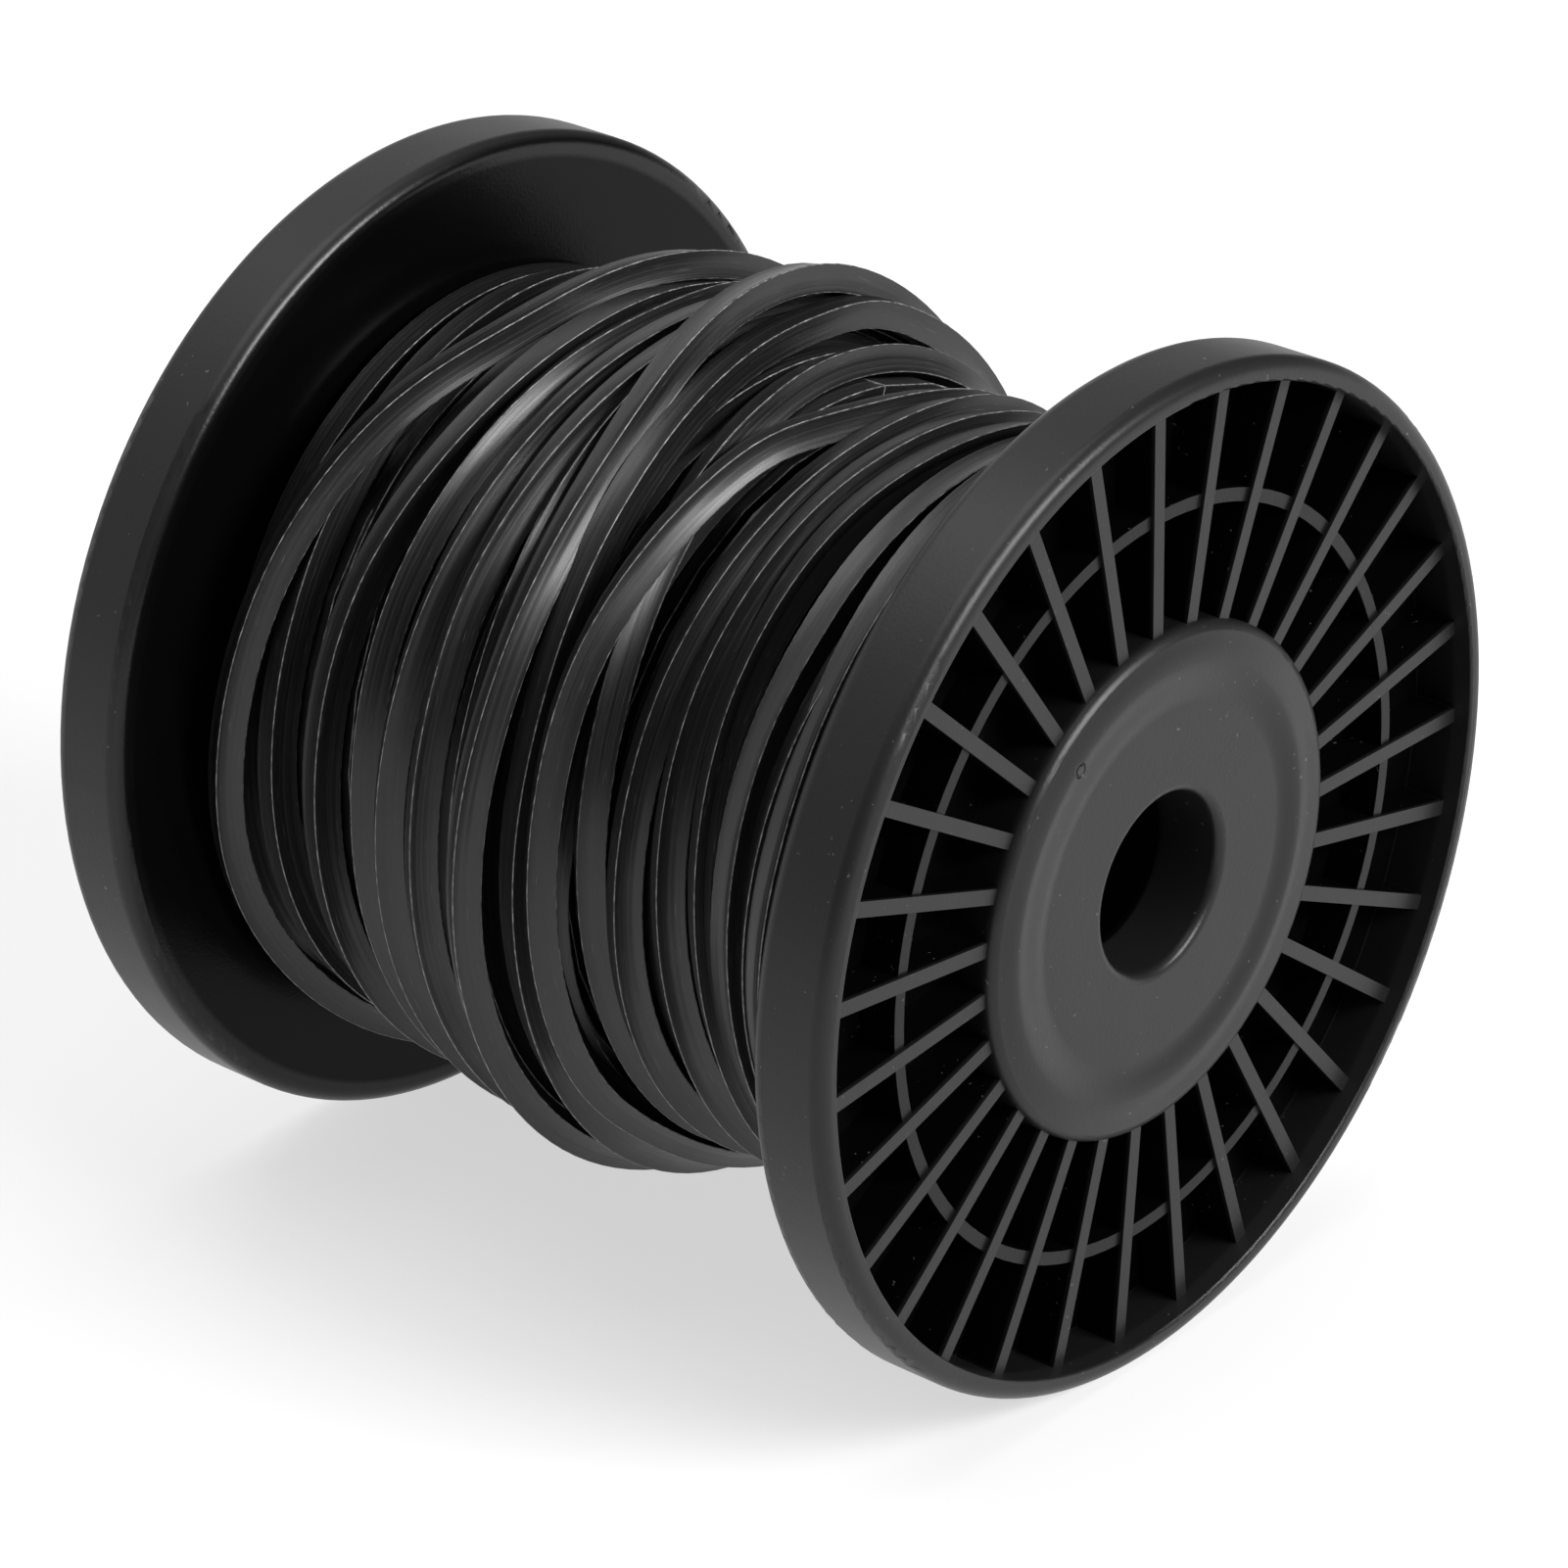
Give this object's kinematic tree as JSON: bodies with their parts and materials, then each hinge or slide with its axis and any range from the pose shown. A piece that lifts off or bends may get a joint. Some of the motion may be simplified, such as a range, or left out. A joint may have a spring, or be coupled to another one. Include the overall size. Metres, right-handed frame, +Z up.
{
  "type": "string reel",
  "caption": "Reel with ribbed round end flanges, a hollow drum and a through bore, wound with thick square-section string.",
  "frame": {"origin": "middle of the reel, on the axis of the bore", "axes": "+Y along the reel's axis, away from the front flange towards the rear flange; +Z up, with the reel lying on its two rims"},
  "size_m": [0.108, 0.1018, 0.108],
  "materials": {
    "flange_plastic": "black moulded plastic, satin on the rims and hubs, glossy in the recess",
    "drum_plastic": "black extruded plastic tube",
    "string_plastic": "black extruded nylon, semi-gloss with fine lengthwise streaks"
  },
  "bodies": {
    "root": {"front_flange": "flange_plastic", "rear_flange": "flange_plastic", "drum": "drum_plastic", "string_winding": "string_plastic"}
  },
  "joints": []
}
